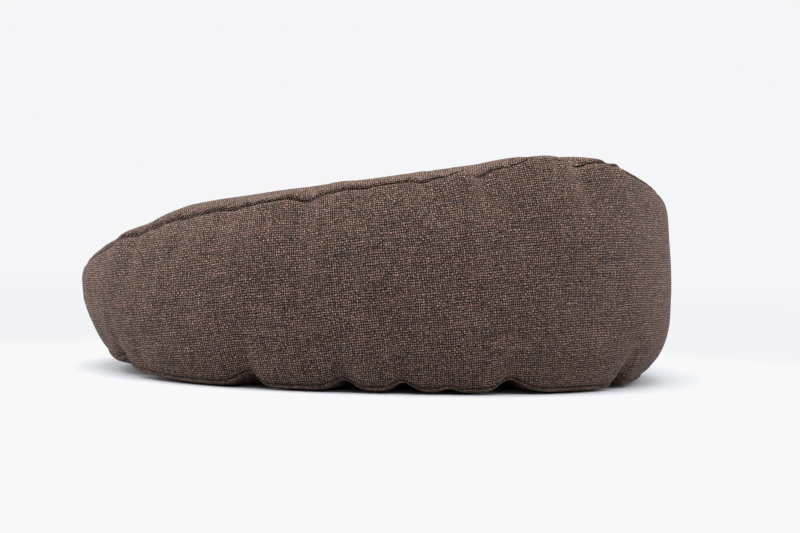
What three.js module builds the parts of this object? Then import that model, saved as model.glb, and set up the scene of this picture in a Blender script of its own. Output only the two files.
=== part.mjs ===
// A sauna pillow: a low wedge-shaped headrest cushion, cut from brown melange linen-look cloth.
// An oval top panel and an oval bottom panel are sewn to one boxing strip, low at the thin end and
// tall at the thick end. The filling crowns the top, bulges the strip and lies flat underneath.
//
// Millimetres. X runs from the thin end to the thick end, Y across the pillow and Z up.
// The origin is the middle of the underside, where the pillow rests.

import * as THREE from 'three';

// Plan of the pillow at its widest, about halfway up the strip.
const LENGTH = 308;
const WIDTH = 236;
const THIN_END_SQUARENESS = 2.0;
const THICK_END_SQUARENESS = 2.25;

// How sharply the top panel rolls over at its rim, and how soon its edge stands up from the seam.
const CROWN_ROLL = 2.6;
const EDGE_REACH = 3.5;

// Flat spot under the pillow, where it rests, shifted towards the heavy thick end.
const FLAT_LENGTH = 190;
const FLAT_WIDTH = 144;
const FLAT_SHIFT = 14;

// A plain seam pulls the cloth in to a groove with a soft lip on either side.
const SEAM_GROOVE = 2;
const SEAM_LIP = 2.4;

// How far down or up the strip, and in over a panel, a tuck fades out.
const TOP_TUCK_FADE = 16;
const BOTTOM_TUCK_FADE = 11;
const PANEL_TUCK_FADE = 12;

// How far a bottom tuck draws the strip in, as a share of its depth.
const BOTTOM_TUCK_IN = 0.3;

// How far below the top seam a mound is highest, and how far it swells out, as a share of its height.
const MOUND_REACH = 6;
const MOUND_OUT = 0.5;

// How sharply the strip rolls in towards its top seam.
const SHOULDER_ROLL = 2.2;

const STATIONS = 192;
const STRIP_ROWS = 9;
const FULL_TURN = 2 * Math.PI;

// Sections along the pillow. crown: rise of the top panel over its seam. edge: how much more of it
// comes at once. topSeam, bottomSeam: heights. topIn, bottomIn: how far each seam lies inside the plan.
// widest: how far down the strip its widest line lies, as a share of its height. belly: how sharply
// the strip rolls in under that line. shoulder: how far the strip stands up over the top seam.
const COLUMNS = [
  'x', 'crown', 'edge', 'topSeam', 'topIn', 'widest', 'belly', 'bottomIn', 'bottomSeam', 'shoulder',
];
const SECTIONS = [
  [-154, 2.8, 1.5, 51.5, 1, 0.2, 1.9, 14, 11.5, 0],
  [-122, 4.6, 1.9, 65.3, 4, 0.35, 2.3, 10, 5.4, 0],
  [-92, 6.8, 2.6, 75.7, 9, 0.48, 2.8, 8, 2.5, 0],
  [-47, 5.9, 2.3, 84.5, 11, 0.52, 3, 7, 2.3, 0],
  [-2, 5.8, 2.3, 91.3, 12, 0.52, 3, 7, 2.3, 0],
  [38, 5.9, 2.1, 97.5, 12, 0.52, 3, 7, 2.3, 0],
  [78, 4.6, 2.2, 105, 13, 0.5, 3, 7.5, 2.3, 0.5],
  [108, 2.8, 1.6, 105.8, 11, 0.48, 3.2, 9, 2.3, 1.6],
  [130, 0.8, 0.3, 100, 9.5, 0.5, 3.6, 12, 2.5, 3.2],
  [154, 0, 0, 91.4, 6, 0.55, 3.8, 14, 5, 2.4],
];

// Tucks, where a seam draws the cloth in. side: -1 for the near long side, 1 for the far one.
// depth: how far the seam moves up or down. before, after: the half widths towards -X and +X.
const TOP_TUCKS = [
  { x: -65, side: -1, depth: 1.3, before: 6, after: 6 },
  { x: -31, side: -1, depth: 3.3, before: 9, after: 7 },
  { x: 22, side: -1, depth: 1.4, before: 6, after: 7 },
  { x: 50, side: -1, depth: 3.4, before: 6, after: 9 },
  { x: 97, side: -1, depth: 3.4, before: 9, after: 8 },
  { x: 112, side: -1, depth: -2.4, before: 6, after: 6 },
  { x: -96, side: 1, depth: 2, before: 8, after: 8 },
  { x: -52, side: 1, depth: 2.5, before: 7, after: 10 },
  { x: -8, side: 1, depth: 3, before: 10, after: 7 },
  { x: 38, side: 1, depth: 2, before: 7, after: 7 },
  { x: 84, side: 1, depth: 3.5, before: 8, after: 10 },
  { x: 120, side: 1, depth: 2.5, before: 8, after: 8 },
];
const BOTTOM_TUCKS = [
  { x: -130, side: -1, depth: 5, before: 8, after: 6 },
  { x: -55, side: -1, depth: 6.2, before: 11, after: 6 },
  { x: -12, side: -1, depth: 4.5, before: 8, after: 8 },
  { x: 15, side: -1, depth: 4, before: 7, after: 7 },
  { x: 65, side: -1, depth: 5.5, before: 9, after: 12 },
  { x: 126, side: -1, depth: 6, before: 8, after: 6 },
  { x: -110, side: 1, depth: 3, before: 9, after: 9 },
  { x: -66, side: 1, depth: 4.5, before: 8, after: 8 },
  { x: -22, side: 1, depth: 5, before: 9, after: 9 },
  { x: 26, side: 1, depth: 3, before: 8, after: 8 },
  { x: 70, side: 1, depth: 5, before: 10, after: 10 },
  { x: 118, side: 1, depth: 4, before: 8, after: 8 },
];

// Mounds, where the strip swells up over the top seam between two tucks.
const MOUNDS = [
  { x: 43, side: -1, depth: 4.4, before: 6, after: 6 },
  { x: 84, side: -1, depth: 2.8, before: 6, after: 9 },
  { x: 116, side: -1, depth: 2, before: 6, after: 6 },
  { x: -30, side: 1, depth: 2, before: 8, after: 8 },
  { x: 62, side: 1, depth: 3, before: 9, after: 9 },
  { x: 104, side: 1, depth: 2.5, before: 7, after: 7 },
];

// The plan at the widest line: an oval that is a little squarer at the thick end.
class PlanOval extends THREE.Curve {
  constructor(length, width) {
    super();
    this.halfLength = length / 2;
    this.halfWidth = width / 2;
    this.arcLengthDivisions = 2000;
  }

  getPoint(t, target = new THREE.Vector2()) {
    const c = Math.cos(t * FULL_TURN);
    const s = Math.sin(t * FULL_TURN);
    const power = 2 / (c > 0 ? THICK_END_SQUARENESS : THIN_END_SQUARENESS);
    return target.set(
      this.halfLength * Math.sign(c) * Math.abs(c) ** power,
      this.halfWidth * Math.sign(s) * Math.abs(s) ** power,
    );
  }
}

// A value of the sections table at x, on a smooth curve through its rows.
function section(name, x) {
  const column = COLUMNS.indexOf(name);
  const last = SECTIONS.length - 2;
  let row = 0;
  while (row < last && SECTIONS[row + 1][0] < x) {
    row += 1;
  }
  const [before, low, high, after] = [row - 1, row, row + 1, row + 2].map(
    (i) => SECTIONS[THREE.MathUtils.clamp(i, 0, SECTIONS.length - 1)],
  );
  const span = high[0] - low[0];
  const share = THREE.MathUtils.clamp((x - low[0]) / span, 0, 1);
  const slopeLow = ((high[column] - before[column]) / (high[0] - before[0])) * span;
  const slopeHigh = ((after[column] - low[column]) / (after[0] - low[0])) * span;
  const rise = high[column] - low[column];
  const bend = share * share * (3 - 2 * share);
  return (
    low[column] +
    rise * bend +
    share * (1 - share) * (slopeLow * (1 - share) - slopeHigh * share)
  );
}

// Where a tuck or mound lies along the plan's rim, in millimetres from its start.
function rimDistance(plan, feature) {
  const rim = plan.getLength();
  const samples = 1200;
  let nearest = Infinity;
  let at = 0;
  for (let i = 0; i < samples; i += 1) {
    const point = plan.getPointAt(i / samples);
    const miss = Math.abs(point.x - feature.x);
    if (Math.sign(point.y) === feature.side && miss < nearest) {
      nearest = miss;
      at = (i / samples) * rim;
    }
  }
  return at;
}

// How strongly a table of tucks or mounds acts at a distance along the rim.
function pull(features, distance, rim) {
  let total = 0;
  for (const feature of features) {
    const gap = THREE.MathUtils.euclideanModulo(distance - feature.at + rim / 2, rim) - rim / 2;
    const half = -gap * feature.side < 0 ? feature.before : feature.after;
    total += feature.depth * Math.exp(-2 * (gap / half) ** 2);
  }
  return total;
}

// Everything that the surface needs to know at one station round the rim.
function makeStations() {
  const plan = new PlanOval(LENGTH, WIDTH);
  const flat = new PlanOval(FLAT_LENGTH, FLAT_WIDTH);
  const rim = plan.getLength();
  const [topTucks, bottomTucks, mounds] = [TOP_TUCKS, BOTTOM_TUCKS, MOUNDS].map((table) =>
    table.map((feature) => ({ ...feature, at: rimDistance(plan, feature) })),
  );
  const stations = [];
  for (let i = 0; i < STATIONS; i += 1) {
    const share = i / STATIONS;
    const point = plan.getPointAt(share);
    const along = plan.getTangentAt(share);
    const flatPoint = flat.getPointAt(share);
    stations.push({
      point,
      outward: new THREE.Vector2(along.y, -along.x),
      flatPoint: new THREE.Vector2(flatPoint.x + FLAT_SHIFT, flatPoint.y),
      topTuck: pull(topTucks, share * rim, rim),
      bottomTuck: pull(bottomTucks, share * rim, rim),
      mound: pull(mounds, share * rim, rim) + section('shoulder', point.x),
      topSeam: section('topSeam', point.x),
      bottomSeam: section('bottomSeam', point.x),
      topIn: section('topIn', point.x),
      bottomIn: section('bottomIn', point.x),
      widest: section('widest', point.x),
      belly: section('belly', point.x),
    });
  }
  return stations;
}

// A point of the strip. down: 0 at the top seam and 1 at the bottom seam.
function stripPoint(station, down) {
  const height = station.topSeam - station.bottomSeam;
  const fromTop = down * height;
  const fromBottom = height - fromTop;
  const topPull = station.topTuck * Math.exp(-fromTop / TOP_TUCK_FADE);
  const bottomPull = station.bottomTuck * Math.exp(-fromBottom / BOTTOM_TUCK_FADE);
  const mound = station.mound * (fromTop / MOUND_REACH) * Math.exp(1 - fromTop / MOUND_REACH);
  const topGroove = groove(fromTop);
  const bottomGroove = groove(fromBottom);
  const { widest, belly } = station;
  const inward =
    down < widest
      ? station.topIn * ((widest - down) / widest) ** SHOULDER_ROLL
      : station.bottomIn * ((down - widest) / (1 - widest)) ** belly;
  const tucked = topPull + BOTTOM_TUCK_IN * bottomPull - MOUND_OUT * mound;
  const offset = inward + tucked + topGroove + bottomGroove;
  const z = station.topSeam - fromTop - topPull - topGroove + mound + bottomPull + bottomGroove;
  return new THREE.Vector3(
    station.point.x - station.outward.x * offset,
    station.point.y - station.outward.y * offset,
    z,
  );
}

// How deep the groove of a seam is at a distance from it.
function groove(fromSeam) {
  return SEAM_GROOVE * Math.exp(-((fromSeam / SEAM_LIP) ** 2) * 2);
}

// A point of the top panel, a distance in from its seam, as a share of the way to the middle.
function topPanelPoint(station, inShare) {
  const out = 1 - inShare;
  const rimX = station.point.x - station.outward.x * station.topIn;
  const rimY = station.point.y - station.outward.y * station.topIn;
  const fromSeam = Math.hypot(rimX, rimY) * inShare;
  const drawn = station.topTuck * Math.exp(-fromSeam / PANEL_TUCK_FADE) + groove(fromSeam);
  const x = rimX * out;
  const crown = section('crown', x) * (1 - out ** CROWN_ROLL);
  const edge = section('edge', x) * (1 - Math.exp(-fromSeam / EDGE_REACH));
  return new THREE.Vector3(
    x - station.outward.x * drawn,
    rimY * out - station.outward.y * drawn,
    section('topSeam', x) + crown + edge - drawn,
  );
}

// A point of the bottom panel, which slopes from its seam to the flat spot, ever more gently.
function bottomPanelPoint(station, seamPoint, inShare) {
  return new THREE.Vector3(
    THREE.MathUtils.lerp(seamPoint.x, station.flatPoint.x, inShare),
    THREE.MathUtils.lerp(seamPoint.y, station.flatPoint.y, inShare),
    seamPoint.z * (1 - inShare) ** 2,
  );
}

// The stations are joined ring by ring, from the middle of the top to the middle of the underside.
function makeRings() {
  const stations = makeStations();
  const rings = [];
  const ring = (pointAt) => rings.push(stations.map(pointAt));

  for (const inShare of [0.8, 0.62, 0.46, 0.32, 0.21, 0.13, 0.075, 0.04, 0.017]) {
    ring((station) => topPanelPoint(station, inShare));
  }

  ring((station) => stripPoint(station, 0));
  ring((station) => stripPoint(station, lipShare(station)));
  for (let row = 0; row <= STRIP_ROWS; row += 1) {
    ring((station) => {
      const edge = 2.5 * lipShare(station);
      return stripPoint(station, THREE.MathUtils.lerp(edge, 1 - edge, row / STRIP_ROWS));
    });
  }
  ring((station) => stripPoint(station, 1 - lipShare(station)));
  ring((station) => stripPoint(station, 1));

  const bottomSeam = rings.at(-1);
  for (const inShare of [0.15, 0.4, 0.7, 1]) {
    ring((station, i) => bottomPanelPoint(station, bottomSeam[i], inShare));
  }
  return rings;
}

// The width of a seam's lip, as a share of the strip's height.
function lipShare(station) {
  return SEAM_LIP / (station.topSeam - station.bottomSeam);
}

// One closed skin: the rings, with a point in the middle of the top and of the underside.
function makeSkin(rings) {
  const count = rings[0].length;
  const crest = ['topSeam', 'crown', 'edge'].reduce((sum, name) => sum + section(name, 0), 0);
  const top = new THREE.Vector3(0, 0, crest);
  const underside = new THREE.Vector3(0, 0, 0);
  const points = [...rings.flat(), top, underside];
  const topIndex = rings.length * count;
  const lastRing = (rings.length - 1) * count;
  const faces = [];
  for (let i = 0; i < count; i += 1) {
    const next = (i + 1) % count;
    faces.push(topIndex, i, next);
    faces.push(topIndex + 1, lastRing + next, lastRing + i);
    for (let row = 0; row < lastRing; row += count) {
      faces.push(row + i, row + count + i, row + count + next);
      faces.push(row + i, row + count + next, row + next);
    }
  }
  const geometry = new THREE.BufferGeometry().setFromPoints(points);
  geometry.setIndex(faces);
  geometry.computeVertexNormals();
  return geometry;
}

// Melange linen-look cloth: warm brown yarns woven with charcoal ones, matt.
const cloth = new THREE.MeshStandardMaterial({ color: 0x5f4a41, roughness: 0.95, metalness: 0 });

const pillow = new THREE.Mesh(makeSkin(makeRings()), cloth);
pillow.name = 'pillow';

const saunaPillow = new THREE.Group();
saunaPillow.add(pillow);

export default saunaPillow;
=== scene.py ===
"""A sauna pillow: a low wedge-shaped cushion of brown melange linen-look cloth, on pale paper."""

import math

import bmesh
import bpy
import numpy as np
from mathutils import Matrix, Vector


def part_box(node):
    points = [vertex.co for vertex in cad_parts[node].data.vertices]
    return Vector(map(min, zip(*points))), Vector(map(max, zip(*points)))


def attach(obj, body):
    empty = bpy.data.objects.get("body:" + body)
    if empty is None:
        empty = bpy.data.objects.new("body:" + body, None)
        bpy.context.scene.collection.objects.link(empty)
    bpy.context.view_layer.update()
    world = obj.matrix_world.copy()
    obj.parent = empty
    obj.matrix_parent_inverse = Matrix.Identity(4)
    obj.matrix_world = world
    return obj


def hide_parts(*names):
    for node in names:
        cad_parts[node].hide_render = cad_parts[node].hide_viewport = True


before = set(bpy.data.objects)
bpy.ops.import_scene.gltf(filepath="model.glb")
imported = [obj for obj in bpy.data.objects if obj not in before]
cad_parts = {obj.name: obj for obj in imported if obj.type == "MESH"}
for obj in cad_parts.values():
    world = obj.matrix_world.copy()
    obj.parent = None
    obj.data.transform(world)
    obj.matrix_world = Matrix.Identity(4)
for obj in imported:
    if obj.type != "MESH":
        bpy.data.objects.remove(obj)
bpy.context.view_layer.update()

# The cover's cut and its filled shape. An oval top panel and an oval bottom panel are sewn to one
# boxing strip, low at the thin end and tall at the thick end. The filling crowns the top, bulges the
# strip and lies flat underneath, and the two plain seams draw the cloth in to a groove with tucks.
MM = 0.001
box_low, box_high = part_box("pillow")
LENGTH = (box_high.x - box_low.x) / MM
WIDTH = (box_high.y - box_low.y) / MM
THIN_END_SQUARENESS = 2.0
THICK_END_SQUARENESS = 2.25
OVAL_SAMPLES = 8001
RIM_SAMPLES = 2400

# How sharply the top panel and the strip roll in at the top seam, and how soon the panel's edge
# stands up from it.
CROWN_ROLL = 2.0
SHOULDER_ROLL = 2.2
EDGE_REACH = 3.5

# The flat spot underneath, where the pillow rests, shifted towards the heavy thick end, and how
# gently the bottom panel comes down to it.
FLAT_LENGTH = 190
FLAT_WIDTH = 144
FLAT_SHIFT = 14
UNDERSIDE_ROLL = 2.5

# A seam's groove and the width of its lips, then how far up, down or in a tuck fades out, how far it
# draws the strip in as a share of its depth, and how fast it dies away along the seam.
SEAM_GROOVE = 1.6
SEAM_LIP = 1.8
TOP_TUCK_FADE = 16
PANEL_TUCK_FADE = 12
BOTTOM_TUCK_FADE = 11
BOTTOM_TUCK_IN = 0.3
TUCK_FALL = 2

# How far a bottom tuck draws the flat spot in and arches the panel, and the lip at that panel's seam.
TUCK_UNDER = 5
TUCK_ARCH = 1.5
LIP_ROUND = 1.3
LIP_OUT = 2.0
LIP_DROP = 1.1

# How far from the top seam a mound or a dip is greatest, and how far a mound swells out.
MOUND_REACH = 6
MOUND_OUT = 0.5
DIP_REACH = 14

# One row for each section along the pillow, x in mm from its middle. crown: rise of the top panel
# over its seam. edge: how much more of it comes at once. top_seam, bottom_seam: heights. top_in,
# bottom_in: how far each seam lies inside the plan. widest: how far down the strip its widest line
# lies, as a share. belly: how sharply the strip rolls in under it. shoulder: how far the strip stands
# up over the top seam. grain: height of one weft yarn.
COLUMNS = "x crown edge top_seam top_in widest belly bottom_in bottom_seam shoulder grain".split()
SECTIONS = np.array([
    (-154, 2.6, 1.5, 50.8, 0.8, 0.14, 1.9, 14, 11.5, 0.0, 40.0),
    (-122, 4.5, 2.2, 65.3, 4, 0.35, 2.3, 10, 5.4, 0.0, 43.5),
    (-92, 6.3, 3.0, 75.7, 9, 0.48, 2.8, 8, 2.5, 0.0, 47.0),
    (-47, 5.9, 3.0, 84.5, 11, 0.52, 3.0, 7, 2.3, 0.0, 53.0),
    (-2, 4.9, 3.0, 91.3, 12, 0.52, 3.0, 7, 2.3, 0.0, 59.0),
    (38, 5.8, 3.0, 97.5, 12, 0.52, 3.0, 7, 2.3, 0.0, 64.0),
    (78, 3.6, 3.0, 105.0, 13, 0.50, 3.0, 7.5, 2.3, 0.5, 68.5),
    (108, 1.8, 1.6, 105.8, 11, 0.48, 3.2, 9, 2.3, 1.6, 70.5),
    (130, 0.6, 0.1, 100.3, 9.5, 0.50, 3.6, 12, 2.5, 2.9, 71.5),
    (154, 0.0, 0.0, 91.4, 6, 0.55, 3.8, 14, 5.0, 2.4, 72.0),
])

# Tucks, where a seam draws the cloth in, with columns x, side, depth, before and after. side: -1 for
# the near long side, 1 for the far one. depth: how far the top seam goes down or the bottom seam up.
# before, after: the tuck's half widths towards -X and +X. Mounds and dips have the same columns.
TOP_TUCKS = np.array([
    (-123, -1, -1.2, 6, 6),
    (-114, -1, 1.1, 5, 5),
    (-105, -1, 0.6, 5, 4),
    (-91, -1, 0.9, 4, 4),
    (-85, -1, 0.5, 4, 4),
    (-78, -1, 0.4, 4, 4),
    (-73, -1, 0.4, 4, 4),
    (-67, -1, 1.6, 5, 6),
    (-58, -1, 0.7, 5, 5),
    (-48, -1, 0.4, 5, 5),
    (-31, -1, 3.2, 9, 7),
    (-21, -1, 0.8, 5, 5),
    (-5, -1, 0.8, 4, 6),
    (22, -1, 1.5, 4, 7),
    (39, -1, -1.3, 4, 3),
    (49, -1, 3.0, 5, 9),
    (62, -1, 0.5, 6, 5),
    (74, -1, -2.2, 6, 5),
    (81, -1, -2.7, 5, 5),
    (89, -1, -0.4, 4, 4),
    (99, -1, 2.9, 6, 6),
    (112, -1, -1.8, 6, 4),
    (119, -1, -1.6, 5, 6),
    (-96, 1, 2.0, 8, 8),
    (-52, 1, 2.5, 7, 10),
    (-8, 1, 3.0, 10, 7),
    (38, 1, 2.0, 7, 7),
    (84, 1, 3.5, 8, 10),
    (120, 1, 2.5, 8, 8),
])
BOTTOM_TUCKS = np.array([
    (-127, -1, 4.4, 10, 8),
    (-55, -1, 6.2, 11, 6),
    (-12, -1, 4.5, 8, 8),
    (15, -1, 4.0, 7, 7),
    (36, -1, 1.6, 5, 5),
    (65, -1, 5.5, 9, 12),
    (126, -1, 6.0, 8, 6),
    (-110, 1, 3.0, 9, 9),
    (-66, 1, 4.5, 8, 8),
    (-22, 1, 5.0, 9, 9),
    (26, 1, 3.0, 8, 8),
    (70, 1, 5.0, 10, 10),
    (118, 1, 4.0, 8, 8),
])

# Mounds, where the strip swells up over the top seam between two tucks.
MOUNDS = np.array([
    (41, -1, 3.8, 4, 6),
    (110, -1, -2.0, 5, 5),
    (-30, 1, 2.0, 8, 8),
    (62, 1, 3.0, 9, 9),
    (104, 1, 2.5, 7, 7),
])

# Dips, where a tuck runs on into the top panel and the filling stands lower. A negative one is a
# rise.
DIPS = np.array([
    (-121, -1, 1.2, 6, 6),
    (-100, -1, -0.7, 16, 20),
    (-50, -1, 2.6, 18, 12),
    (14, -1, 0.7, 10, 9),
    (35, -1, 3.6, 6, 6),
    (60, -1, -0.5, 10, 10),
    (81, -1, 6.0, 7, 7),
    (115, -1, 5.0, 5, 8),
    (-60, 1, 1.6, 14, 14),
    (0, 1, 1.8, 12, 12),
    (72, 1, 1.8, 14, 12),
])


def section(column, x):
    """A value of the sections table at x, on a smooth curve through its rows."""
    xs, values = SECTIONS[:, 0], SECTIONS[:, COLUMNS.index(column)]
    last = len(xs) - 1
    row = np.clip(np.searchsorted(xs, x, side="left") - 1, 0, last - 1)
    before, after = np.maximum(row - 1, 0), np.minimum(row + 2, last)
    span = xs[row + 1] - xs[row]
    share = np.clip((x - xs[row]) / span, 0, 1)
    slope_low = (values[row + 1] - values[before]) / (xs[row + 1] - xs[before]) * span
    slope_high = (values[after] - values[row]) / (xs[after] - xs[row]) * span
    rise = (values[row + 1] - values[row]) * share * share * (3 - 2 * share)
    return values[row] + rise + share * (1 - share) * (slope_low * (1 - share) - slope_high * share)


def oval(length, width, share):
    """Points at shares of the way round an oval, from the thick end by the far side, and its girth."""
    angle = np.linspace(0, 2 * np.pi, OVAL_SAMPLES)
    across, along = np.sin(angle), np.cos(angle)
    power = 2 / np.where(along > 0, THICK_END_SQUARENESS, THIN_END_SQUARENESS)
    x = length / 2 * np.sign(along) * np.abs(along) ** power
    y = width / 2 * np.sign(across) * np.abs(across) ** power
    run = np.concatenate(([0], np.cumsum(np.hypot(np.diff(x), np.diff(y)))))
    at = np.mod(share, 1) * run[-1]
    return np.interp(at, run, x), np.interp(at, run, y), run[-1]


def pull(rows, share):
    """How strongly a table of tucks, mounds or dips acts at shares of the way round the rim."""
    samples = np.linspace(0, 1, RIM_SAMPLES, endpoint=False)
    x, y, girth = oval(LENGTH, WIDTH, samples)
    total = np.zeros_like(share)
    for at_x, side, depth, before, after in rows:
        miss = np.where(np.sign(y) == side, np.abs(x - at_x), np.inf)
        gap = (np.mod(share - samples[np.argmin(miss)] + 0.5, 1) - 0.5) * girth
        towards_x = gap * -side
        half = np.where(towards_x < 0, before, after)
        total += depth * np.exp(-TUCK_FALL * (gap / half) ** 2)
    return total


class Rim:
    """What the cover's shape needs to know at shares of the way round the rim."""

    def __init__(self, share):
        nudge = 0.0004
        self.x, self.y, self.girth = oval(LENGTH, WIDTH, share)
        ahead_x, ahead_y, _ = oval(LENGTH, WIDTH, share + nudge)
        back_x, back_y, _ = oval(LENGTH, WIDTH, share - nudge)
        run = np.hypot(ahead_x - back_x, ahead_y - back_y)
        self.out_x, self.out_y = (ahead_y - back_y) / run, (back_x - ahead_x) / run
        self.top_tuck = pull(TOP_TUCKS, share)
        self.bottom_tuck = pull(BOTTOM_TUCKS, share)
        flat_x, flat_y, _ = oval(FLAT_LENGTH, FLAT_WIDTH, share)
        self.flat_x = flat_x + FLAT_SHIFT - self.out_x * TUCK_UNDER * self.bottom_tuck
        self.flat_y = flat_y - self.out_y * TUCK_UNDER * self.bottom_tuck
        self.mound = pull(MOUNDS, share)
        self.dip = pull(DIPS, share)
        for column in COLUMNS[COLUMNS.index("top_seam"):]:
            setattr(self, column, section(column, self.x))
        self.height = self.top_seam - self.bottom_seam
        self.grain_slope = (section("grain", ahead_x) - section("grain", back_x)) / run


def groove(from_seam):
    """Depth of a seam's groove: the two lips roll over and meet in a sharp line."""
    away = np.clip(1 - from_seam / SEAM_LIP, 0, 1)
    return SEAM_GROOVE * (1 - np.sqrt(1 - away * away))


def swell(from_seam, reach):
    """How a mound or dip stands up from the seam to its full size at its reach, and dies away after."""
    part = from_seam / reach
    return part * np.exp(1 - part)


def strip_points(rim, down):
    """Points of the strip. down is 0 at the top seam and 1 at the bottom seam."""
    from_top = down * rim.height
    from_bottom = rim.height - from_top
    top_pull = rim.top_tuck * np.exp(-from_top / TOP_TUCK_FADE)
    bottom_pull = rim.bottom_tuck * np.exp(-from_bottom / BOTTOM_TUCK_FADE)
    above = rim.top_in * np.clip((rim.widest - down) / rim.widest, 0, 1) ** SHOULDER_ROLL
    below = rim.bottom_in * np.clip((down - rim.widest) / (1 - rim.widest), 0, 1) ** rim.belly
    mound = (rim.mound + rim.shoulder) * swell(from_top, MOUND_REACH)
    inward = above + below + top_pull + BOTTOM_TUCK_IN * bottom_pull - MOUND_OUT * mound
    inward = inward + groove(from_top) + groove(from_bottom)
    z = rim.top_seam - from_top - top_pull - groove(from_top) + mound
    z = z + bottom_pull + groove(from_bottom)
    return np.stack((rim.x - rim.out_x * inward, rim.y - rim.out_y * inward, z), axis=-1)


def top_points(rim, in_share):
    """Points of the top panel. in_share is 0 at the seam and 1 in the middle."""
    out = 1 - in_share
    seam_x, seam_y = rim.x - rim.out_x * rim.top_in, rim.y - rim.out_y * rim.top_in
    from_seam = np.hypot(seam_x, seam_y) * in_share
    drawn = rim.top_tuck * np.exp(-from_seam / PANEL_TUCK_FADE) + groove(from_seam)
    x = seam_x * out
    crown = section("crown", x) * (1 - out ** CROWN_ROLL)
    edge = section("edge", x) * (1 - np.exp(-from_seam / EDGE_REACH))
    z = section("top_seam", x) + crown + edge - rim.dip * swell(from_seam, DIP_REACH) * out - drawn
    return np.stack((x - rim.out_x * drawn, seam_y * out - rim.out_y * drawn, z), axis=-1)


def bottom_points(rim, in_share):
    """Points of the bottom panel. in_share is 0 at the seam, 1 at the flat spot, 2 in the middle."""
    inward = rim.bottom_in + BOTTOM_TUCK_IN * rim.bottom_tuck
    edge_x, edge_y = rim.x - rim.out_x * inward, rim.y - rim.out_y * inward
    to_flat = np.clip(in_share, 0, 1)
    to_middle = np.clip(in_share - 1, 0, 1)
    from_seam = np.hypot(edge_x - rim.flat_x, edge_y - rim.flat_y) * to_flat
    rolled = 1 - np.exp(-from_seam / LIP_ROUND)
    out = LIP_OUT * rolled * (1 - to_flat) - groove(from_seam)
    x = (edge_x + (rim.flat_x - edge_x) * to_flat) * (1 - to_middle) + rim.out_x * out
    y = (edge_y + (rim.flat_y - edge_y) * to_flat) * (1 - to_middle) + rim.out_y * out
    z = LIP_DROP * (1 - rolled) + (rim.bottom_seam - LIP_DROP) * (1 - to_flat) ** UNDERSIDE_ROLL
    z = z + rim.bottom_tuck * (1 - to_flat ** 2) * (1 + TUCK_ARCH * to_flat) + groove(from_seam)
    return np.stack((x, y, z), axis=-1)


# The three pieces of cloth as one sewn skin. A wrapped grid holds the strip and the rims of both
# panels, with close rows at the seams, and a square grid pressed out to an oval fills the middle of
# each panel. The rows go by mm from a seam, and the bottom panel's by bottom_points' shares.
STATIONS = 272
SIDE = STATIONS // 4
MAP_JOIN = 0.25
NEAR_SEAM = [0, 0.3, 0.8, 1.5, 2.6, 4.5]
TOP_BAND = NEAR_SEAM + [7, 10, 14, 18.5, 23.5, 29, 35]
STRIP_MIDDLE = 20
BOTTOM_BAND = [0, 0.008, 0.02, 0.035, 0.055, 0.085, 0.14, 0.25, 0.4, 0.6, 0.8, 1, 1.04, 1.1, 1.2]
MERGE_REACH = 0.01

# A seam fixes the cloth up to the first distance from it and leaves it free past the second.
HELD_FIRM = 0.8
HELD_REACH = 5.0


def seam_hold(from_seam):
    """How firmly a seam holds the cloth at a distance from it: 1 is fixed and 0 is free."""
    return min(max((HELD_REACH - from_seam) / (HELD_REACH - HELD_FIRM), 0.0), 1.0)


def wrap_rows(rim):
    """The rows of the wrapped grid, from the top panel to the bottom one, and how far each is held."""
    reach = np.hypot(rim.x - rim.out_x * rim.top_in, rim.y - rim.out_y * rim.top_in)
    rows = [(top_points(rim, away / reach), seam_hold(away)) for away in reversed(TOP_BAND)]
    edge = [from_seam / rim.height for from_seam in NEAR_SEAM[1:]]
    first, last = edge[-1], 1 - edge[-1]
    middle = [first + (last - first) * k / STRIP_MIDDLE for k in range(1, STRIP_MIDDLE)]
    downs = edge + middle + [1 - share for share in reversed(edge)]
    edge_hold = [seam_hold(from_seam) for from_seam in NEAR_SEAM[1:]]
    holds = edge_hold + [0.0] * len(middle) + edge_hold[::-1]
    rows += [(strip_points(rim, down), hold) for down, hold in zip(downs, holds)]
    rows += [(bottom_points(rim, in_share), 1.0) for in_share in BOTTOM_BAND]
    return np.stack([points for points, _ in rows]), [hold for _, hold in rows]


def square_to_rim(u, v):
    """Share of the way round and share of the way out for points of a square grid from -1 to 1."""
    out = np.maximum(np.abs(u), np.abs(v))
    sideways = np.abs(u) >= np.abs(v)
    safe_u, safe_v = np.where(u == 0, 1, u), np.where(v == 0, 1, v)
    share = np.where(
        sideways,
        np.where(u > 0, 0, 0.5) + v / (8 * safe_u),
        np.where(v > 0, 0.25, 0.75) - u / (8 * safe_v),
    )
    return share, out


columns = MAP_JOIN + np.arange(STATIONS + 1) / STATIONS
rim = Rim(columns)
rows, row_holds = wrap_rows(rim)
top_seam_row = len(TOP_BAND) - 1
bottom_seam_row = len(rows) - len(BOTTOM_BAND)

# The weave's own map, in metres: the panels lie flat in it, and on the strip it runs along the grain,
# which rises towards the thick end, as the strip was eased round the wedge. The map's join is at the
# middle of the far side.
strip_rows = rows[top_seam_row:bottom_seam_row + 1]
steps = np.linalg.norm(np.diff(strip_rows, axis=0), axis=-1)
arc = np.concatenate((np.zeros((1, STATIONS + 1)), np.cumsum(steps, axis=0)))
widest_height = rim.top_seam - rim.widest * rim.height
widest_row = np.argmin(np.abs(strip_rows[..., 2] - widest_height), axis=0)
pick = (widest_row, np.arange(STATIONS + 1))
weft_height = strip_rows[..., 2][pick] + arc[pick] - arc - rim.grain
warp_run = (columns - columns[0]) * rim.girth + weft_height * rim.grain_slope
strip_map = np.stack((warp_run, weft_height), axis=-1) * MM


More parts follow.
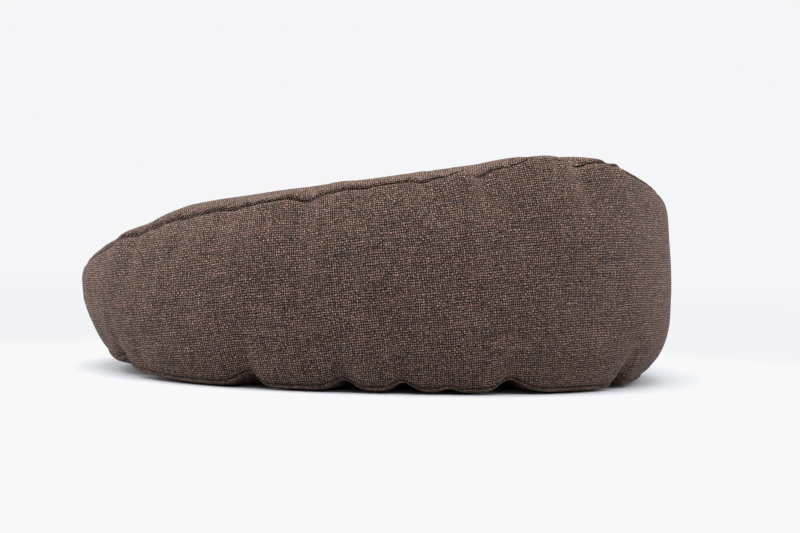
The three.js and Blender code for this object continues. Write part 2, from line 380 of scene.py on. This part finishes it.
def panel_map(panel_rows):
    """Where the rim of a panel lay on the flat cloth: rows from the inside out to the seam."""
    inside = panel_rows[0, :, :2]
    way = panel_rows[-1, :, :2] - inside
    way = way / np.linalg.norm(way, axis=-1, keepdims=True)
    steps = np.linalg.norm(np.diff(panel_rows, axis=0), axis=-1)
    run = np.concatenate((np.zeros((1, panel_rows.shape[1])), np.cumsum(steps, axis=0)))
    return (inside + way * run[..., None]) * MM


top_map = panel_map(rows[:top_seam_row + 1])
bottom_map = panel_map(rows[:bottom_seam_row - 1:-1])[::-1]

bm = bmesh.new()
weave_map = bm.loops.layers.uv.new("weave")
held_layer = bm.verts.layers.deform.verify()
line_layer = bm.verts.layers.int.new("line")
column_layer = bm.verts.layers.int.new("column")


def grid_place(vert, x_segments, y_segments):
    """Column and row of a vertex in a fresh grid that runs from -1 to 1."""
    return round((vert.co.x + 1) / 2 * x_segments), round((vert.co.y + 1) / 2 * y_segments)


made = bmesh.ops.create_grid(bm, x_segments=STATIONS, y_segments=len(rows) - 1, size=1)
place = {vert: grid_place(vert, STATIONS, len(rows) - 1) for vert in made["verts"]}
for face in {face for vert in made["verts"] for face in vert.link_faces}:
    row = min(place[loop.vert][1] for loop in face.loops)
    for loop in face.loops:
        column, line = place[loop.vert]
        if row < top_seam_row:
            loop[weave_map].uv = top_map[line, column]
        elif row < bottom_seam_row:
            loop[weave_map].uv = strip_map[line - top_seam_row, column]
        else:
            loop[weave_map].uv = bottom_map[line - bottom_seam_row, column]
for vert in made["verts"]:
    column, line = place[vert]
    vert.co = Vector(rows[line, column]) * MM
    vert[held_layer][0] = row_holds[line]
    vert[line_layer] = line + 1
    vert[column_layer] = column % STATIONS

for points_at, edge_share in ((top_points, None), (bottom_points, BOTTOM_BAND[-1])):
    made = bmesh.ops.create_grid(bm, x_segments=SIDE, y_segments=SIDE, size=1)
    u, v = np.array([vert.co.xy for vert in made["verts"]]).T
    share, out = square_to_rim(u, v)
    cap_rim = Rim(share)
    if edge_share is None:
        seam_x = cap_rim.x - cap_rim.out_x * cap_rim.top_in
        seam_y = cap_rim.y - cap_rim.out_y * cap_rim.top_in
        reach = np.hypot(seam_x, seam_y)
        in_share = 1 - (1 - TOP_BAND[-1] / reach) * out
    else:
        in_share = 2 - (2 - edge_share) * out
    points = points_at(cap_rim, in_share)
    for vert, point in zip(made["verts"], points):
        vert.co = Vector(point) * MM
        vert[held_layer][0] = 0.0 if edge_share is None else 1.0
    for face in {face for vert in made["verts"] for face in vert.link_faces}:
        for loop in face.loops:
            loop[weave_map].uv = loop.vert.co.xy

bmesh.ops.remove_doubles(bm, verts=bm.verts, dist=MERGE_REACH * MM)
bmesh.ops.recalc_face_normals(bm, faces=bm.faces)
for face in bm.faces:
    face.smooth = True

cover_mesh = bpy.data.meshes.new("pillow_cover")
bm.to_mesh(cover_mesh)
bm.free()
cover = bpy.data.objects.new("pillow_cover", cover_mesh)
bpy.context.scene.collection.objects.link(cover)
cover.vertex_groups.new(name="held")

# The filling pushes the cover out between its seams, and the cloth is cut a little fuller than it
# lies, so it swells in soft lumps and folds. A short cloth simulation finds them: the seams and the
# underside are held and gravity is off. The even part of the swell is in the cut shape already, so
# only what differs along the rim is kept, and it dies away in the middle of the top panel.
SWELL_FRAMES = 20
FILLING_PRESSURE = 4
CLOTH_FULLNESS = 0.04
EVEN_REACH = 12
LUMP_SHARE = 0.5
LUMP_CAP = 1.2
LUMP_FADE_FROM = 14.0
SMALLEST_LUMP = 1e-9
swelling = cover.modifiers.new("filling pressure", "CLOTH")
swelling.settings.vertex_group_mass = "held"
swelling.settings.use_pressure = True
swelling.settings.uniform_pressure_force = FILLING_PRESSURE
swelling.settings.shrink_min = -CLOTH_FULLNESS
swelling.settings.shrink_max = -CLOTH_FULLNESS
swelling.settings.effector_weights.gravity = 0
swelling.collision_settings.use_collision = False
swelling.point_cache.frame_end = SWELL_FRAMES
for frame_number in range(1, SWELL_FRAMES + 1):
    bpy.context.scene.frame_set(frame_number)
evaluated = cover.evaluated_get(bpy.context.evaluated_depsgraph_get())
cut = np.empty((len(cover_mesh.vertices), 3))
cover_mesh.vertices.foreach_get("co", cut.ravel())
swollen = np.empty_like(cut)
evaluated.data.vertices.foreach_get("co", swollen.ravel())
cover.modifiers.remove(swelling)
bpy.context.scene.frame_set(1)
line_of = np.array([item.value for item in cover_mesh.attributes["line"].data]) - 1
column_of = np.array([item.value for item in cover_mesh.attributes["column"].data])
on_grid = line_of >= 0
moves = np.zeros((len(rows), STATIONS, 3))
moves[line_of[on_grid], column_of[on_grid]] = (swollen - cut)[on_grid] / MM
shifts = range(-EVEN_REACH, EVEN_REACH + 1)
even = sum(np.roll(moves, shift, axis=1) for shift in shifts) / len(shifts)
lumps = (moves - even) * LUMP_SHARE
size = np.maximum(np.linalg.norm(lumps, axis=-1, keepdims=True), SMALLEST_LUMP)
lumps = lumps * LUMP_CAP * np.tanh(size / LUMP_CAP) / size
for line, from_seam in enumerate(reversed(TOP_BAND)):
    left = (TOP_BAND[-1] - from_seam) / (TOP_BAND[-1] - LUMP_FADE_FROM)
    lumps[line] *= min(max(left, 0.0), 1.0)
cut[on_grid] += lumps[line_of[on_grid], column_of[on_grid]] * MM
cover_mesh.vertices.foreach_set("co", cut.ravel())
cover_mesh.update()
for name in ("line", "column"):
    cover_mesh.attributes.remove(cover_mesh.attributes[name])

finish = cover.modifiers.new("fine surface", "SUBSURF")
finish.levels = finish.render_levels = 1

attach(cover, "root")
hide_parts("pillow")


# Melange plain-weave cloth, a linen-look polyester: each yarn is spun from charcoal, brown and light
# warm fibres, so it runs lighter and darker in streaks. Painted shade turns the gaps between the
# crossings near-black, and a painted highlight lightens the crossings where the weft lies on top.
def linear(code):
    """Linear colour of an sRGB hex value."""
    parts = [int(code[k:k + 2], 16) / 255 for k in (1, 3, 5)]
    return tuple(c / 12.92 if c <= 0.04045 else ((c + 0.055) / 1.055) ** 2.4 for c in parts) + (1,)


def add(tree, kind, inputs, output=0, **settings):
    """Adds a node with its settings, links and values, and gives one of its outputs."""
    node = tree.nodes.new("ShaderNode" + kind)
    for name, value in settings.items():
        setattr(node, name, value)
    for socket, value in inputs.items():
        if isinstance(value, bpy.types.NodeSocket):
            tree.links.new(value, node.inputs[socket])
        else:
            node.inputs[socket].default_value = value
    return node.outputs[output] if node.outputs else node


# How far apart the yarns lie, and how they wander from straight: waves in a metre, and reach in mm.
WARP_PITCH = 0.975 * MM
WEFT_PITCH = 1.1 * MM
YARN_WANDERS = [
    (70.0, 1.5),
    (260.0, 0.9),
    (900.0, 0.8),
]

# How fast the slubs follow each other along a yarn, what sets one yarn's slubs apart from the next
# one's, how thin a yarn gets between its slubs, and how far it dives between two crossings.
WARP_SLUB_RATE = 0.08
WEFT_SLUB_RATE = 0.07
YARN_SEED = 7.31
WAY_SEED = 3.7
SLUB_THINNING = 2.4
SLUB_BASE = -0.1
CROSSING_BOW = 0.9

# The fibres' tones from dark to light, how much each cause moves a yarn between them, the weft's
# painted highlight among them, how fine the fibres are, the two dyes that tint a yarn, how dark the
# painted shade in the gaps is, and how deep the gaps are.
CLOTH_TONES = [
    (0.00, "#1c1b1d"),
    (0.50, "#71594f"),
    (1.00, "#c09b88"),
]
YARN_CONTRAST = 1.1
FLECK_CONTRAST = 0.3
WEFT_PAINTED_HIGHLIGHT = 0.1
FIBRE_CONTRAST = 2.6
FIBRE_SCALE = 2300.0
TONE_SHIFT = 0.98
WARM_DYE = (1.14, 0.97, 0.84)
COLD_DYE = (0.88, 1.02, 1.16)
COLDEST = 0.35
WARMEST = 0.65
GAP_PAINTED_SHADE = 1.9
BUMP_STRENGTH = 0.3
YARN_RELIEF = 0.25 * MM

cloth = bpy.data.materials.new("melange plain weave polyester")
cloth.use_nodes = True
tree = cloth.node_tree
tree.nodes.clear()
place_on_cloth = add(tree, "UVMap", {}, uv_map="weave")
yarns = place_on_cloth
for scale, reach in YARN_WANDERS:
    wave = {"Vector": place_on_cloth, "Scale": scale, "Detail": 2.0}
    wander = add(tree, "TexNoise", wave, "Color")
    wander = add(tree, "VectorMath", {0: wander, 1: (0.5, 0.5, 0.5)}, operation="SUBTRACT")
    wander = add(tree, "VectorMath", {0: wander, "Scale": reach * MM}, operation="SCALE")
    yarns = add(tree, "VectorMath", {0: yarns, 1: wander}, operation="ADD")
per_metre = (1 / WARP_PITCH, 1 / WEFT_PITCH, 1)
yarns = add(tree, "VectorMath", {0: yarns, 1: per_metre}, operation="MULTIPLY")
crossing = add(tree, "VectorMath", {0: yarns}, operation="FLOOR")
inside = add(tree, "VectorMath", {0: yarns}, operation="FRACTION")
inside = add(tree, "VectorMath", {0: inside, 1: (0.5, 0.5, 0.0)}, operation="SUBTRACT")
inside = add(tree, "VectorMath", {0: inside, "Scale": 2.0}, operation="SCALE")
inside = add(tree, "VectorMath", {0: inside, 1: inside}, operation="MULTIPLY")
split_yarns = add(tree, "SeparateXYZ", {0: yarns}).node
split_crossing = add(tree, "SeparateXYZ", {0: crossing}).node
split_inside = add(tree, "SeparateXYZ", {0: inside}).node
warp_number, weft_number = split_crossing.outputs[0], split_crossing.outputs[1]
count = add(tree, "Math", {0: warp_number, 1: weft_number}, operation="ADD")
half = add(tree, "Math", {0: count, 1: 0.5}, operation="MULTIPLY")
half = add(tree, "Math", {0: half}, operation="FRACT")
weft_on_top = add(tree, "Math", {0: half, 1: 0.25}, operation="GREATER_THAN")

# Each yarn has its own noise along it, for how light, how thick and how warm it is there. A yarn is
# round across its width and bows up to the middle of each crossing.
heights, spins = [], []
for way, other, slub_rate in ((0, 1, WARP_SLUB_RATE), (1, 0, WEFT_SLUB_RATE)):
    own_line = add(tree, "Math", {0: split_crossing.outputs[way], 1: YARN_SEED}, operation="MULTIPLY")
    run = add(tree, "Math", {0: split_yarns.outputs[other], 1: slub_rate}, operation="MULTIPLY")
    line = add(tree, "CombineXYZ", {0: own_line, 1: run, 2: WAY_SEED * way})
    streaks = {"Vector": line, "Scale": 1.0, "Detail": 5.0, "Roughness": 0.7}
    spin = add(tree, "TexNoise", streaks, "Color")
    spins.append(spin)
    thin = add(tree, "SeparateXYZ", {0: spin}, 1)
    thin = add(tree, "Math", {0: thin, 1: SLUB_THINNING, 2: SLUB_BASE}, operation="MULTIPLY_ADD")
    across = add(tree, "Math", {0: split_inside.outputs[way], 1: thin}, operation="MULTIPLY")
    round_side = add(tree, "Math", {0: 1.0, 1: across}, operation="SUBTRACT", use_clamp=True)
    along = split_inside.outputs[other]
    bow = add(tree, "Math", {0: along, 1: -CROSSING_BOW, 2: 1.0}, operation="MULTIPLY_ADD")
    heights.append(add(tree, "Math", {0: round_side, 1: bow}, operation="MULTIPLY"))
both = {"Factor": weft_on_top, "A": heights[0], "B": heights[1]}
height = add(tree, "Mix", both, data_type="FLOAT")
spin = add(tree, "Mix", {0: weft_on_top, 6: spins[0], 7: spins[1]}, 2, data_type="RGBA")
spin = add(tree, "SeparateXYZ", {0: spin}).node

# The fibres' mix gives each yarn its tone, with a fleck at each crossing, a painted highlight where
# the weft lies on top, and a warmer or colder dye.
fleck = add(tree, "TexWhiteNoise", {"Vector": crossing}, noise_dimensions="3D")
streak = spin.outputs[0]
tone = add(tree, "Math", {0: streak, 1: YARN_CONTRAST, 2: -YARN_CONTRAST / 2}, operation="MULTIPLY_ADD")
tone = add(tree, "Math", {0: fleck, 1: FLECK_CONTRAST, 2: tone}, operation="MULTIPLY_ADD")
# Painted highlight: a crossing where the weft lies on top is made lighter, as if its upper side caught
# the light from above.
tone = add(tree, "Math", {0: weft_on_top, 1: WEFT_PAINTED_HIGHLIGHT, 2: tone}, operation="MULTIPLY_ADD")
fibres = add(tree, "TexNoise", {"Vector": place_on_cloth, "Scale": FIBRE_SCALE, "Detail": 1.0})
tone = add(tree, "Math", {0: fibres, 1: FIBRE_CONTRAST, 2: tone}, operation="MULTIPLY_ADD")
tone = add(tree, "Math", {0: tone, 1: TONE_SHIFT}, operation="SUBTRACT")
ramp = add(tree, "ValToRGB", {0: tone}).node
while len(ramp.color_ramp.elements) < len(CLOTH_TONES):
    ramp.color_ramp.elements.new(0.5)
for element, (position, code) in zip(ramp.color_ramp.elements, CLOTH_TONES):
    element.position = position
    element.color = linear(code)
warmth = add(tree, "MapRange", {0: spin.outputs[2], 1: COLDEST, 2: WARMEST})
dye = add(tree, "Mix", {0: warmth, 6: COLD_DYE + (1,), 7: WARM_DYE + (1,)}, 2, data_type="RGBA")
# Painted shade: the colour is darkened with the yarn's height, to near-black in the gaps between
# crossings, where shade falls.
depth_shade = add(tree, "Math", {0: height, 1: GAP_PAINTED_SHADE}, operation="POWER")
colour = add(tree, "VectorMath", {0: ramp.outputs[0], 1: dye}, operation="MULTIPLY")
colour = add(tree, "VectorMath", {0: colour, "Scale": depth_shade}, operation="SCALE")
bump = add(tree, "Bump", {"Height": height, "Strength": BUMP_STRENGTH, "Distance": YARN_RELIEF})
surface = add(tree, "BsdfPrincipled", {
    "Base Color": colour,
    "Normal": bump,
    "Roughness": 0.9,
    "Specular IOR Level": 0.15,
    "Sheen Weight": 0.06,
    "Sheen Roughness": 0.5,
    "Sheen Tint": linear("#c9b3a8"),
})
add(tree, "OutputMaterial", {"Surface": surface})
cover_mesh.materials.append(cloth)

# The closing seams: a dark polyester lockstitch that lies between the two rolled lips of each seam,
# one slim bead for each stitch, about 3 mm long and narrowing to its ends, where it dives in. Its
# near-black colour is partly the sewing yarn's own and partly painted shade for the seam's groove.
THREAD_RADIUS = 0.2 * MM
THREAD_LIFT = 0.15
HALF_STITCH = 0.52
stitching_and_seam_shade = bpy.data.materials.new("dark polyester stitching with painted seam shade")
stitching_and_seam_shade.use_nodes = True
stitching_and_seam_shade_shader = stitching_and_seam_shade.node_tree.nodes["Principled BSDF"]
# Near-black: partly the sewing yarn's own colour, partly painted shade for the seam's groove.
stitching_and_seam_shade_shader.inputs["Base Color"].default_value = linear("#1c1412")
stitching_and_seam_shade_shader.inputs["Roughness"].default_value = 0.7

for name, seam_row, lift_z in (
    ("top_seam_stitching_and_shade", top_seam_row, 1),
    ("bottom_seam_stitching_and_shade", bottom_seam_row, -1),
):
    lift = np.stack((rim.out_x, rim.out_y, np.full_like(rim.out_x, lift_z)), axis=-1) * THREAD_LIFT
    line = [Vector(point) * MM for point in rows[seam_row] + lift]
    bm = bmesh.new()
    for start, end in zip(line, line[1:]):
        bead = bmesh.ops.create_icosphere(bm, subdivisions=1, radius=1)["verts"]
        turn = (end - start).to_track_quat("X", "Z")
        bead_size = Vector(((end - start).length * HALF_STITCH, THREAD_RADIUS, THREAD_RADIUS))
        for vert in bead:
            vert.co = (start + end) / 2 + turn @ (vert.co * bead_size)
    for face in bm.faces:
        face.smooth = True
    mesh = bpy.data.meshes.new(name)
    bm.to_mesh(mesh)
    bm.free()
    mesh.materials.append(stitching_and_seam_shade)
    seam = bpy.data.objects.new(name, mesh)
    bpy.context.scene.collection.objects.link(seam)
    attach(seam, "root")

# The studio: pale paper that fades into an even pale background, a wide softbox overhead and a lower
# one at either end, so that the long side facing the camera is the least lit. Near the pillow the
# paper is lit and takes its shadow. It turns even past an oval round the pillow, counted in the
# pillow's own size, the more so behind it, and all round past a distance in metres.
FLOOR_HALF = 6.0
PAPER = linear("#bcbec3")
BACKDROP = linear("#fafbfe")
FAR_PAPER = linear("#f6f7fa")
OVAL_FROM, OVAL_TO = 1.15, 2.0
BEHIND_FROM, BEHIND_TO = -0.19, 0.32
ROUND_FROM, ROUND_TO = 0.42, 0.85
TONE_FROM, TONE_TO = 0.6, 4.0
FADE_SOFTNESS = 3.0
bm = bmesh.new()
bmesh.ops.create_grid(bm, x_segments=24, y_segments=24, size=FLOOR_HALF)
floor_mesh = bpy.data.meshes.new("paper_floor")
bm.to_mesh(floor_mesh)
bm.free()
floor = bpy.data.objects.new("paper_floor", floor_mesh)
bpy.context.scene.collection.objects.link(floor)
paper = bpy.data.materials.new("white background paper")
paper.use_nodes = True
tree = paper.node_tree
tree.nodes.clear()
spot = add(tree, "TexCoord", {}, "Object")
per_oval = (2 / (LENGTH * MM), 2 / (WIDTH * MM), 0)
in_ovals = add(tree, "VectorMath", {0: spot, 1: per_oval}, operation="MULTIPLY")
ovals = add(tree, "VectorMath", {0: in_ovals}, "Value", operation="LENGTH")
away = add(tree, "MapRange", {0: ovals, 1: OVAL_FROM, 2: OVAL_TO})
back = add(tree, "SeparateXYZ", {0: spot}, 1)
behind = add(tree, "MapRange", {0: back, 1: BEHIND_FROM, 2: BEHIND_TO})
fade = add(tree, "Math", {0: away, 1: behind}, operation="MULTIPLY")
distance = add(tree, "VectorMath", {0: spot}, "Value", operation="LENGTH")
outside = add(tree, "MapRange", {0: distance, 1: ROUND_FROM, 2: ROUND_TO})
fade = add(tree, "Math", {0: fade, 1: outside}, operation="MAXIMUM")
unfaded = add(tree, "Math", {0: 1.0, 1: fade}, operation="SUBTRACT")
lit_share = add(tree, "Math", {0: unfaded, 1: FADE_SOFTNESS}, operation="POWER")
far = add(tree, "MapRange", {0: distance, 1: TONE_FROM, 2: TONE_TO})
paper_shade = add(tree, "Mix", {0: far, 6: FAR_PAPER, 7: BACKDROP}, 2, data_type="RGBA")
matt_paper = {"Base Color": PAPER, "Roughness": 0.9, "Specular IOR Level": 0.1}
matt = add(tree, "BsdfPrincipled", matt_paper)
even = add(tree, "Emission", {"Color": paper_shade, "Strength": 1.0})
mixed = add(tree, "MixShader", {0: lit_share, 1: even, 2: matt})
add(tree, "OutputMaterial", {"Surface": mixed})
floor_mesh.materials.append(paper)

ROOM_LIGHT = 0.36
world = bpy.data.worlds.new("studio")
bpy.context.scene.world = world
world.use_nodes = True
tree = world.node_tree
tree.nodes.clear()
seen = add(tree, "LightPath", {}, "Is Camera Ray")
fill = add(tree, "Background", {"Color": linear("#f5f6f8"), "Strength": ROOM_LIGHT})
backdrop = add(tree, "Background", {"Color": BACKDROP, "Strength": 1.0})
mixed = add(tree, "MixShader", {0: seen, 1: fill, 2: backdrop})
add(tree, "OutputWorld", {"Surface": mixed})

# The softboxes: name, place, the point each is aimed at, size in metres and power in watts.
LIGHTS = [
    ("top_softbox", (0.0, -0.30, 1.5), (0.0, 0.0, 0.0), 1.6, 45.0),
    ("left_softbox", (-1.35, 0.0, 0.9), (0.0, 0.0, 0.05), 1.5, 42.0),
    ("right_softbox", (1.35, 0.0, 0.9), (0.0, 0.0, 0.05), 1.5, 30.0),
]
for name, stand, aim, size, power in LIGHTS:
    data = bpy.data.lights.new(name, "AREA")
    data.shape = "SQUARE"
    data.size = size
    data.energy = power
    lamp = bpy.data.objects.new(name, data)
    lamp.location = stand
    lamp.rotation_euler = (Vector(aim) - Vector(stand)).to_track_quat("-Z", "Y").to_euler()
    lamp.visible_camera = False
    bpy.context.scene.collection.objects.link(lamp)

# The camera is close to the near long side, at about half the pillow's height, rolled a little.
CAMERA_PLACE = (0.0125, -0.590, 0.0558)
CAMERA_ROLL = math.radians(-1.4)
LENS = 49.5
SENSOR_WIDTH = 36
camera_data = bpy.data.cameras.new("camera")
camera_data.lens = LENS
camera_data.sensor_width = SENSOR_WIDTH
camera = bpy.data.objects.new("camera", camera_data)
camera.location = CAMERA_PLACE
camera.rotation_euler = (math.pi / 2, CAMERA_ROLL, 0)
bpy.context.scene.collection.objects.link(camera)
bpy.context.scene.camera = camera

# The exposure leaves the paper just short of white, as a photograph of it does: a curve on all the
# colours together keeps the darks and bends the lights down.
KEPT_UP_TO = 0.6
BEND = (0.85, 0.83)
BRIGHTEST = (1.0, 0.94)
view = bpy.context.scene.view_settings
view.view_transform = "Standard"
view.use_curve_mapping = True
lights_curve = view.curve_mapping.curves[3]
lights_curve.points.new(KEPT_UP_TO, KEPT_UP_TO)
lights_curve.points.new(*BEND)
lights_curve.points[-1].location = BRIGHTEST
view.curve_mapping.extend = "HORIZONTAL"
view.curve_mapping.update()
